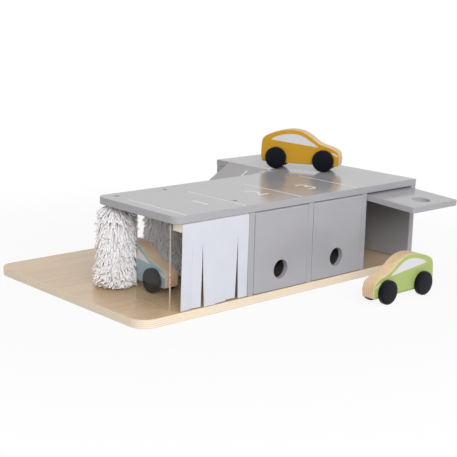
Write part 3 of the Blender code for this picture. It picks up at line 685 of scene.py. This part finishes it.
def round_rims(board, low, high):
    """Rounds the edges of the board's underside and of its top."""
    round_edges(
        board, EDGE_ROUNDING, 3,
        lambda a, b: level_with(a, b, low.z) or level_with(a, b, high.z))


def drill_for_screw(board, place, head_hole):
    """A hole in the board's face: wide for the screw's head and narrow for its shank."""
    drill(board, HEAD_HOLE_RADIUS, head_hole, place)
    drill(board, SHANK_HOLE_RADIUS, SHANK_HOLE_LENGTH, place)


def cut_window_slot(board, face):
    """The slot that holds the pane, cut into the board's face at this height."""
    near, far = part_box("wash_window")
    gap = Vector((SLOT_GAP, SLOT_GAP, 0))
    cut_out(board, add_block(
        "window slot", Vector((near.x, near.y, face - SLOT_DEPTH)) - gap,
        Vector((far.x, far.y, face + SLOT_DEPTH)) + gap))


def make_base():
    low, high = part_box("base_board")
    base = add_block("base", low, high)
    round_edges(base, BASE_CORNER, 12, upright)
    round_rims(base, low, high)
    for place in BRUSH_PLACES.values():
        drill_for_screw(base, (*place, 0), BASE_HEAD_HOLE)
    cut_window_slot(base, BASE_TOP)
    smooth(base)
    hand_over(base, "garage", "birch_plywood", ["base_board"], PLYWOOD)


def make_deck():
    """The roof: a plank whose back is drawn out into the platform at its right end."""
    low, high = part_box("roof_deck")
    deck = add_block("roof", low, (high.x, DECK_BACK, high.z))
    edit(deck, everything=True)
    bpy.ops.mesh.bisect(plane_co=(PLATFORM_X, 0, 0), plane_no=(1, 0, 0))
    leave_edit()
    pick_faces(deck, lambda centre, normal: normal.y > 0.9 and centre.x > PLATFORM_X)
    extrude(0, high.y - DECK_BACK, 0)
    bpy.ops.mesh.select_all(action="SELECT")
    bpy.ops.mesh.dissolve_limited(angle_limit=0.01)
    leave_edit()
    round_edges(deck, DECK_CORNER, 10, lambda a, b: upright(a, b) and same(a.x, low.x))
    round_rims(deck, low, high)
    for place in (*BRUSH_PLACES.values(), DIVIDER_SCREW):
        drill_for_screw(deck, (*place, high.z), DECK_HEAD_HOLE)
    cut_window_slot(deck, DECK_UNDERSIDE)
    smooth(deck)
    hand_over(deck, "garage", "grey_paint", ["roof_deck"], GREY_PAINT)


def make_batten():
    low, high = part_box("curtain_batten")
    batten = add_block("curtain_rail", low, high)
    round_edges(batten, BATTEN_ROUNDING, 3, lambda a, b: True)
    smooth(batten)
    hand_over(batten, "garage", "light_wood", ["curtain_batten"], PALE_WOOD)


def make_window():
    """The pane, with a frosted edge in front and a darker copy of that edge behind, whose darker
    colour is painted shade.
    """
    low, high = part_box("wash_window")
    pane = add_block("wash_pane", low, high)
    round_edges(pane, PANE_ROUNDING, 2, lambda a, b: True)
    smooth(pane)
    hand_over(
        pane, "garage", "clear_acrylic", ["wash_window"], ACRYLIC, SAWN_ACRYLIC, SHADED_REAR_ACRYLIC)
    for polygon in pane.data.polygons:
        facing = polygon.normal.y
        polygon.material_index = 1 if facing < -0.5 else 2 if facing > 0.5 else 0


# Printed marks on the roof and the ramp

def add_stroke(points, width, height):
    """A flat painted stroke along points, as thin plates on the height given."""
    strokes = []
    for start, end in zip(points, points[1:]):
        start, end = Vector(start), Vector(end)
        along = end - start
        middle = (start + end) / 2
        piece = add_block(
            "stroke", (-along.length / 2, -width / 2, 0),
            (along.length / 2, width / 2, PRINT_THICKNESS))
        piece.rotation_euler = (0, 0, math.atan2(along.y, along.x))
        piece.location = (*middle, height)
        settle(piece)
        strokes.append(piece)
    return strokes


def add_number(text, place, height):
    """A plain number, printed flat, upright for someone who stands before the doors."""
    bpy.ops.object.text_add(location=(*place, height))
    number = bpy.context.active_object
    number.data.body = text
    number.data.size = NUMBER_SIZE
    number.data.align_x = "CENTER"
    number.data.align_y = "CENTER"
    number.data.extrude = PRINT_THICKNESS / 2
    number.data.offset = NUMBER_BOLDNESS
    alone(number)
    bpy.ops.object.convert(target="MESH")
    settle(number)
    return number


def make_markings():
    """White lines between the parking places on the roof, a plain number in each, a turn mark."""
    height = DECK_TOP - PRINT_SINK
    marks = []
    for x in LINE_PLACES:
        marks += add_stroke([(x, y) for y in LINE_ENDS], LINE_WIDTH, height)
    for text, place in NUMBER_PLACES.items():
        marks.append(add_number(text, place, height + PRINT_THICKNESS / 2))
    for points in TURN_MARK:
        marks += add_stroke(points, TURN_MARK_WIDTH, height)
    hand_over(fuse(marks, "roof_marks"), "garage", None, None, PRINT_WHITE)


def make_ramp_line():
    """The dashes along the middle of the ramp, which lead up to the turn mark."""
    low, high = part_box("ramp")
    rise = (DECK_TOP - low.z - RAMP_TOE) / (high.x - low.x)
    middle = (low.y + high.y) / 2
    dashes = []
    for number in range(DASH_COUNT):
        far = high.x - DASH_SETBACK - DASH_STEP * number
        dash = add_block(
            "dash", (-DASH_LENGTH, -DASH_HALF_WIDTH, -PRINT_SINK),
            (0, DASH_HALF_WIDTH, PRINT_THICKNESS - PRINT_SINK))
        dash.rotation_euler = (0, -math.atan(rise), 0)
        dash.location = (far, middle, DECK_TOP - (high.x - far) * rise)
        settle(dash)
        dashes.append(dash)
    hand_over(fuse(dashes, "ramp_line"), "garage", None, None, PRINT_WHITE)


# Doors

def make_door(number, opened):
    """A door on its pins: rounded at the top so that it clears the roof as it swings."""
    pin = (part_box(f"door_{number}_left_pin")[0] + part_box(f"door_{number}_right_pin")[1]) / 2
    low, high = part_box(f"door_{number}")
    end, face = (high.x - low.x) / 2, DOOR_HALF_THICKNESS
    door = add_block(f"door_panel_{number}", (-end, -face, DOOR_BOTTOM), (end, face, face))
    round_edges(
        door, DOOR_TOP_ROUNDING, 8, lambda a, b: level_with(a, b, face) and same(a.y, b.y))
    round_edges(
        door, DOOR_FOOT_ROUNDING, 5,
        lambda a, b: level_with(a, b, DOOR_BOTTOM) and same(a.x, b.x))
    drill(
        door, FINGER_HOLE_RADIUS, THROUGH, (0, 0, FINGER_HOLE_HEIGHT), (math.pi / 2, 0, 0), 72)

    def on_face(point):
        return same(abs(point.y), face)

    def from_hole(point):
        return math.hypot(point.x, point.z - FINGER_HOLE_HEIGHT) / FINGER_HOLE_RADIUS

    def on_rim(point):
        return on_face(point) and abs(from_hole(point) - 1) < 0.01

    round_edges(door, FINGER_HOLE_ROUNDING, 4, lambda a, b: on_rim(a) and on_rim(b))
    round_edges(
        door, DOOR_EDGE_ROUNDING, 2, lambda a, b: on_face(a) and on_face(b) and from_hole(a) > 2)
    for place in (-end, end):
        drill(
            door, PIN_BORE_RADIUS, 2 * PIN_BORE_DEPTH, (place, 0, 0), (0, math.pi / 2, 0), 32)
    smooth(door)
    door.location = pin
    door.rotation_euler = (-opened, 0, 0)
    settle(door)
    hand_over(door, f"door_{number}", "grey_paint", [f"door_{number}"], GREY_PAINT)


# Screws

def make_screw(name, node, place, pointing_up=False):
    """A socket screw: a flat head with a hexagon in it, and a shank that ends in a point."""
    screw = add_rod(name, HEAD_RADIUS, HEAD_THICKNESS, (0, 0, -HEAD_THICKNESS / 2))
    pick_faces(screw, lambda centre, normal: normal.z < -0.9)
    bpy.ops.mesh.inset(thickness=SHANK_INSET)
    for _ in range(2):
        extrude(0, 0, -SHANK_PART)
    bpy.ops.transform.resize(value=(POINT_SCALE, POINT_SCALE, 1), center_override=(0, 0, 0))
    leave_edit()
    round_edges(screw, HEAD_ROUNDING, 3, lambda a, b: level_with(a, b, 0))
    drill(screw, HEXAGON_RADIUS, HEXAGON_LENGTH, sides=6)
    smooth(screw)
    screw.rotation_euler = (math.pi if pointing_up else 0, 0, 0)
    screw.location = place
    settle(screw)
    hand_over(screw, "garage", "dark_steel", [node], DARK_STEEL)


def make_screws():
    for number, (x, y) in BRUSH_PLACES.items():
        make_screw(f"brush_{number}_roof_screw", f"brush_{number}_top_screw", (x, y, DECK_TOP))
        make_screw(
            f"brush_{number}_base_screw", f"brush_{number}_bottom_screw",
            (x, y, BASE_SCREW_HEIGHT), pointing_up=True)
    make_screw("roof_screw", "divider_screw", (*DIVIDER_SCREW, DECK_TOP))


# Brushes

def strand_point(share):
    """A point on the strand: it slopes away from the sleeve and bends down a little more."""
    out = STRAND_REACH * (1.25 * share - 0.25 * share ** 2)
    down = STRAND_DROP * (0.45 * share + 0.55 * share ** 2)
    return Vector((out, 0, -down))


def add_strand():
    """One strand of yarn that leaves the sleeve along +X and hangs over to a thinner tip."""
    bpy.ops.mesh.primitive_circle_add(
        vertices=STRAND_SIDES, radius=STRAND_RADIUS, fill_type="NGON",
        rotation=(0, math.pi / 2, 0))
    strand = name_new("strand")
    settle(strand)
    edit(strand, "FACE", everything=True)
    before = Vector((0, 0, 0))
    turned = 0.0
    for share in STRAND_STOPS:
        point = strand_point(share)
        along = point - before
        tilt = math.atan2(-along.z, along.x)
        extrude(*along)
        bpy.ops.transform.rotate(
            value=turned - tilt, orient_axis="Y", center_override=tuple(point))
        turned = tilt
        before = point
    bpy.ops.transform.resize(value=(STRAND_TIP_SCALE,) * 3, center_override=tuple(before))
    leave_edit(face_outward=True)
    return strand


def yarn_obstacles():
    """The boxes that yarn lies against: the blue car, the first divider and the back wall."""
    car_x, axle_y, ground = CARS["blue"][0]
    boxes = [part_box(node) for node in ("blue_car_body", "divider_1", "back_wall")]
    half = TRACK + WHEEL_WIDTH / 2
    for y in (axle_y, axle_y - WHEELBASE):
        low = Vector((car_x - half, y - WHEEL_RADIUS, ground))
        high = Vector((car_x + half, y + WHEEL_RADIUS, ground + 2 * WHEEL_RADIUS))
        boxes.append((low, high))
    return boxes


def strand_hits(x, y, angle, root, drop, reach, boxes):
    """Whether a strand that reaches this far runs into one of the boxes."""
    margin = STRAND_RADIUS + STRAND_CLEARANCE
    for step in range(1, STRAND_TESTS + 1):
        bend = strand_point(step / STRAND_TESTS)
        out = ROOT_RADIUS + bend.x / STRAND_REACH * (reach - ROOT_RADIUS)
        height = root + bend.z / STRAND_DROP * drop
        point = (x + out * math.cos(angle), y + out * math.sin(angle), height)
        for low, high in boxes:
            if all(low[i] - margin < point[i] < high[i] + margin for i in range(3)):
                return True
    return False


def free_reach(x, y, angle, root, drop, reach, boxes):
    """How far a strand gets from the brush's axis: it is drawn in until it meets nothing."""
    while reach > SHORTEST_REACH and strand_hits(x, y, angle, root, drop, reach, boxes):
        reach -= REACH_STEP
    return max(reach, SHORTEST_REACH)


def yarn_reach(share, angle):
    """How far yarn reaches at this share of the height: it flares near the foot, on one side."""
    flare = YARN_FLARE * math.exp(-((share - FLARE_SHARE) / FLARE_SPREAD) ** 2)
    return YARN_REACH + flare * (0.5 - 0.5 * math.cos(angle))


def draw_yarn(chance, row, position, low, high):
    """Draws one yarn by chance: its angle, its root's height, its drop, its reach, its width."""
    share = row / (YARN_ROWS - 1)
    turn = position + row % 2 / 2 + chance.uniform(-TURN_SCATTER, TURN_SCATTER)
    angle = 2 * math.pi * turn / YARN_ROUND
    root = low + FIRST_ROW + share * (high - low - ROWS_SHORTER)
    root += chance.uniform(-ROOT_SCATTER, ROOT_SCATTER)
    root = min(max(root, low + STRAND_RADIUS), high - STRAND_RADIUS)
    flyaway = chance.random() < FLYAWAY_SHARE
    drop = STRAND_DROP * (0.45 + 1.05 * share)
    drop *= chance.uniform(*(FLYAWAY_DROP if flyaway else HANGING_DROP))
    if share > UNDER_ROOF:
        drop *= chance.uniform(*ROOF_DROP)
    drop = min(drop, chance.uniform(*FOOT_DROP) * (root - low - STRAND_RADIUS))
    reach = yarn_reach((root - drop - low) / (high - low), angle)
    reach *= chance.uniform(*FLYAWAY_REACH) if flyaway else chance.triangular(*HANGING_REACH)
    return angle, root, drop, reach, chance.uniform(*STRAND_WIDTHS)


def make_brush(number):
    """Hundreds of strands of thick yarn that hang over each other round a sleeve."""
    chance = random.Random(number)
    x, y = BRUSH_PLACES[number]
    boxes = yarn_obstacles()
    low, high = BASE_TOP + SLEEVE_END_GAP, DECK_UNDERSIDE - SLEEVE_END_GAP
    sleeve = add_rod("sleeve", SLEEVE_RADIUS, high - low, (0, 0, (low + high) / 2), sides=32)
    drill(sleeve, SLEEVE_BORE_RADIUS, 2 * high, sides=32)
    base_strand = add_strand()
    pieces = [sleeve]
    for row in range(YARN_ROWS):
        for position in range(YARN_ROUND):
            angle, root, drop, reach, width = draw_yarn(chance, row, position, low, high)
            reach = free_reach(x, y, angle, root, drop, reach, boxes) - ROOT_RADIUS
            strand = copy_of(base_strand, "strand")
            strand.scale = (reach / STRAND_REACH, width, drop / STRAND_DROP)
            strand.rotation_euler = (0, 0, angle)
            strand.location = (ROOT_RADIUS * math.cos(angle), ROOT_RADIUS * math.sin(angle), root)
            pieces.append(strand)
    bpy.data.objects.remove(base_strand, do_unlink=True)
    brush = fuse(pieces, f"brush_{number}_strands")
    brush.location = (x, y, 0)
    settle(brush)
    smooth(brush, 60, weighted=False)
    hand_over(brush, f"brush_{number}", "white_yarn", [f"brush_{number}_yarn"], YARN)


# Curtain

def curtain_columns(left, right):
    """The place of each column of points across the curtain, with its strip's number."""
    bounds = [0.0, *SLIT_SHARES, 1.0]
    columns = []
    for strip in range(len(bounds) - 1):
        start = left + bounds[strip] * (right - left) + (HALF_SLIT if strip else 0)
        end = left + bounds[strip + 1] * (right - left)
        end -= 0 if strip == len(bounds) - 2 else HALF_SLIT
        for column in range(STRIP_COLUMNS + 1):
            columns.append((start + (end - start) * column / STRIP_COLUMNS, strip, column))
    return columns


def hang(strip, column, depth):
    """A strip's shift sideways and forward at this depth under the band, which runs to 1."""
    across = column / STRIP_COLUMNS - 0.5
    forward = (STRIP_SWINGS[strip] + STRIP_TWISTS[strip] * across) * depth
    ripple = RIPPLE * math.sin(7 * depth + 2.1 * strip) * depth
    return STRIP_LEANS[strip] * depth, forward + ripple


def make_curtain():
    """White felt, slit into strips under a band that hangs from the rail."""
    low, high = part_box("wash_curtain")
    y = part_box("curtain_batten")[0].y - RAIL_GAP - FELT_THICKNESS / 2
    columns = curtain_columns(low.x, high.x)
    band_low = DECK_UNDERSIDE - CURTAIN_BAND
    heights = [high.z - (high.z - band_low) * row / BAND_ROWS for row in range(BAND_ROWS)]
    heights += [
        band_low + (low.z - band_low) * row / CURTAIN_ROWS for row in range(CURTAIN_ROWS + 1)]
    bpy.ops.mesh.primitive_grid_add(
        x_subdivisions=len(columns) - 1, y_subdivisions=len(heights) - 1, size=2)
    curtain = name_new("felt_curtain")
    spots = {}
    for vertex in curtain.data.vertices:
        column = round((vertex.co.x + 1) / 2 * (len(columns) - 1))
        row = round((1 - vertex.co.y) / 2 * (len(heights) - 1))
        spots[vertex.index] = (column, row)
    for vertex in curtain.data.vertices:
        column, row = spots[vertex.index]
        x, strip, place = columns[column]
        depth = max(0.0, (band_low - heights[row]) / (band_low - low.z))
        sideways, forward = hang(strip, place, depth)
        height = heights[row] + STRIP_ENDS[strip] * depth
        vertex.co = (min(x + sideways, high.x), y + forward, height)

    def in_slit(face):
        strips = {columns[spots[vertex.index][0]][1] for vertex in face.verts}
        top_row = min(spots[vertex.index][1] for vertex in face.verts)
        return len(strips) > 1 and top_row >= BAND_ROWS

    shape = edit(curtain, "FACE")
    pick(curtain, [face for face in shape.faces if in_slit(face)])
    bpy.ops.mesh.delete(type="FACE")
    leave_edit()
    finish_with(curtain, "SOLIDIFY", thickness=FELT_THICKNESS, offset=0)
    smooth(curtain, 40, weighted=False)
    dress(curtain, FELT)
    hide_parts("wash_curtain")
    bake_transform(curtain)


# Cars

def smooth_outline(corners, steps, closed=True):
    """Points on a smooth curve through the corners. An open one is closed by a straight edge."""
    corners = [Vector(corner) for corner in corners]
    if closed:
        run = [corners[-1], *corners, corners[0], corners[1]]
    else:
        run = [2 * corners[0] - corners[1], *corners, 2 * corners[-1] - corners[-2]]
    points = []
    for before, start, end, after in zip(run, run[1:], run[2:], run[3:]):
        for step in range(steps):
            t = step / steps
            points.append(0.5 * (
                2 * start + (end - before) * t
                + (2 * before - 5 * start + 4 * end - after) * t ** 2
                + (3 * start - before - 3 * end + after) * t ** 3))
    return points if closed else [*points, corners[-1]]


def add_side_plate(name, points, near, far):
    """A plate between two distances to the left, with an outline seen from the side."""
    bpy.ops.mesh.primitive_circle_add(vertices=len(points), radius=1, fill_type="NGON")
    plate = name_new(name)
    for vertex, point in zip(plate.data.vertices, points):
        vertex.co = (point[0], near, point[1])
    edit(plate, "FACE", everything=True)
    extrude(0, far - near, 0)
    leave_edit(face_outward=True)
    return plate


def keep_own_place(piece):
    """Stores each point's place on the car before the car is put where it stands."""
    attribute = piece.data.attributes.new("own_place", "FLOAT_VECTOR", "POINT")
    places = [value for vertex in piece.data.vertices for value in vertex.co]
    attribute.data.foreach_set("vector", places)


def add_car_body(name):
    """A slab sawn to the car's outline, with rounded edges and axle holes."""
    half = CAR_THICKNESS / 2
    axles = (0, WHEELBASE)
    body = add_side_plate(name, smooth_outline(CAR_OUTLINE, 4, closed=False), -half, half)
    for axle in axles:
        drill(
            body, AXLE_HOLE_RADIUS, THROUGH, (axle, 0, WHEEL_RADIUS), (math.pi / 2, 0, 0), 32)

    def on_side(point):
        near_axle = min(math.hypot(point.x - axle, point.z - WHEEL_RADIUS) for axle in axles)
        return same(abs(point.y), half) and near_axle > AXLE_HOLE_RIM

    round_edges(
        body, CAR_ROUNDING, 4, lambda a, b: on_side(a) and on_side(b) and same(a.y, b.y))
    dress(body, CAR_PAINTS["yellow"], CAR_WOOD)
    for polygon in body.data.polygons:
        polygon.material_index = 0 if abs(polygon.normal.y) > PAINTED_SLOPE else 1
    smooth(body, 40)
    return body


def add_car_marks(name):
    """The windows on both sides, pale within a bare edge, and the lights."""
    half = CAR_THICKNESS / 2
    window = [WINDOW_ENDS[0], *smooth_outline(WINDOW_TOP, 3, closed=False), WINDOW_ENDS[1]]
    light = smooth_outline(HEADLIGHT_OUTLINE, 3)
    plates = []
    for side in (-1, 1):
        near, far = side * (half - MARK_SINK), side * (half + MARK_RISE)
        plate = add_side_plate("window", window, near, far)
        dress(plate, WINDOW_WOOD, WINDOW_PAINT)
        pick_faces(plate, lambda centre, normal: side * normal.y > 0.9)
        bpy.ops.mesh.inset(thickness=WINDOW_EDGE)
        leave_edit()
        for polygon in plate.data.polygons:
            polygon.material_index = 1 if polygon.select else 0
        lamp = add_side_plate("light", light, near, far)
        dress(lamp, WINDOW_WOOD)
        plates += [plate, lamp]
    return fuse(plates, name)


def make_wheel():
    """A solid wheel that faces +Z: rounded shoulder, gently domed face, and a bore behind."""
    wheel = add_rod("wheel", WHEEL_RADIUS, WHEEL_WIDTH, sides=64)
    half = WHEEL_WIDTH / 2
    round_edges(wheel, WHEEL_SHOULDER, 7, lambda a, b: level_with(a, b, half))
    round_edges(wheel, WHEEL_BACK_ROUNDING, 3, lambda a, b: level_with(a, b, -half))
    pick_faces(
        wheel, lambda centre, normal: normal.z > 0.99 and math.hypot(centre.x, centre.y) < 0.001)
    for inset, rise in DOME_STEPS:
        bpy.ops.mesh.inset(thickness=inset, depth=rise)
    leave_edit()
    top = max(vertex.co.z for vertex in wheel.data.vertices)
    for vertex in wheel.data.vertices:
        if vertex.co.z > 0:
            vertex.co.z *= half / top
    drill(wheel, AXLE_HOLE_RADIUS, WHEEL_BORE, (0, 0, -half), sides=32)
    smooth(wheel, 50)
    return wheel


def place_copy(piece, name, place):
    made = copy_of(piece, name)
    made.matrix_world = place
    settle(made)
    return made


def make_cars():
    wheel = make_wheel()
    body = add_car_body("car body")
    marks = add_car_marks("car marks")
    for piece in (body, marks):
        keep_own_place(piece)
    for colour, (place, heading) in CARS.items():
        car = f"{colour}_car"
        turn = Matrix.Translation(place) @ Matrix.Rotation(heading, 4, "Z")
        made = place_copy(body, car, turn)
        made.data.materials[0] = CAR_PAINTS[colour]
        hand_over(made, car, f"{colour}_paint", [f"{car}_body"])
        windows = place_copy(marks, f"{car}_windows", turn)
        smooth(windows, 30, weighted=False)
        hand_over(windows, car, None, None)
        for end, along in (("rear", 0), ("front", WHEELBASE)):
            keep_node(f"{car}_{end}_axle", DARK_STEEL)
            for side, label in ((1, "left"), (-1, "right")):
                stand = Matrix.Translation((along, side * TRACK, WHEEL_RADIUS))
                facing = Matrix.Rotation(-side * math.pi / 2, 4, "X")
                tyre = place_copy(wheel, f"{colour}_{end}_{label}_tyre", turn @ stand @ facing)
                hand_over(
                    tyre, f"{car}_{end}_wheels", "black_plastic",
                    [f"{car}_{end}_{label}_wheel"], BLACK_PLASTIC)
    for piece in (wheel, body, marks):
        bpy.data.objects.remove(piece, do_unlink=True)


# Stage, lights and camera

def make_floor():
    """A plain pale floor. It looks white to the camera and keeps a soft shadow."""
    bpy.ops.mesh.primitive_plane_add(size=FLOOR_SIZE)
    floor = name_new("floor")
    material, tree, shader, place = start_material("pale floor", 0.9)
    feed(tree, (0.70, 0.70, 0.70), shader.inputs["Base Color"])
    white = add_node(tree, "ShaderNodeEmission")
    distance = add_node(tree, "ShaderNodeVectorMath", {0: place}, operation="LENGTH")
    white_share = remap(tree, distance.outputs["Value"], 0.35, 0.9, FLOOR_WHITENESS, 1.0)
    seen = any_ray(tree, *SEEING_RAYS)
    mix_on_surface(tree, calculate(tree, "MULTIPLY", seen, white_share), shader, white)
    dress(floor, material)


def make_world():
    """White to the camera and in reflections, softer as a light."""
    world = bpy.data.worlds.new("studio")
    bpy.context.scene.world = world
    world.use_nodes = True
    tree = world.node_tree
    background = tree.nodes["Background"]
    background.inputs["Color"].default_value = (1, 1, 1, 1)
    level = calculate(
        tree, "MULTIPLY_ADD", any_ray(tree, *SEEING_RAYS), 1.0 - WORLD_LIGHT, WORLD_LIGHT)
    tree.links.new(level, background.inputs["Strength"])


def add_light(name, place, aim, size, power, colour):
    lamp = bpy.data.lights.new(name, "AREA")
    lamp.color = colour
    lamp.shape = "RECTANGLE"
    lamp.size, lamp.size_y = size
    lamp.energy = power
    light = bpy.data.objects.new(name, lamp)
    bpy.context.scene.collection.objects.link(light)
    light.location = place
    light.rotation_euler = (Vector(aim) - Vector(place)).to_track_quat("-Z", "Y").to_euler()
    light.visible_glossy = False


def make_camera():
    """The photograph's viewpoint, with the small roll that its picture has."""
    lens = bpy.data.cameras.new("camera")
    lens.lens = LENS_LENGTH
    lens.sensor_width = SENSOR_WIDTH
    camera = bpy.data.objects.new("camera", lens)
    bpy.context.scene.collection.objects.link(camera)
    camera.matrix_world = (
        Matrix.Translation(CAMERA_PLACE) @ Matrix.Rotation(CAMERA_AZIMUTH, 4, "Z")
        @ Matrix.Rotation(math.pi / 2 - CAMERA_ELEVATION, 4, "X")
        @ Matrix.Rotation(CAMERA_ROLL, 4, "Z"))
    bpy.context.scene.camera = camera


make_camera()
make_floor()
make_world()
for light_name, values in LIGHTS.items():
    add_light(light_name, *values)
bpy.context.scene.view_settings.view_transform = "Standard"

make_base()
make_deck()
for board in (
        "divider_1", "divider_2", "divider_3", "right_wall", "back_wall", "platform_wall", "ramp"):
    keep_node(board, GREY_PAINT)
make_batten()
make_window()
make_markings()
make_ramp_line()
for door_number in (1, 2, 3):
    make_door(door_number, DOOR_TRAVEL_OPEN if door_number == 3 else 0)
    for pin_side in ("left", "right"):
        keep_node(f"door_{door_number}_{pin_side}_pin", DARK_STEEL)
make_screws()
for brush_number in BRUSH_PLACES:
    make_brush(brush_number)
    keep_node(f"brush_{brush_number}_spindle", LIGHT_WOOD)
make_curtain()
make_cars()
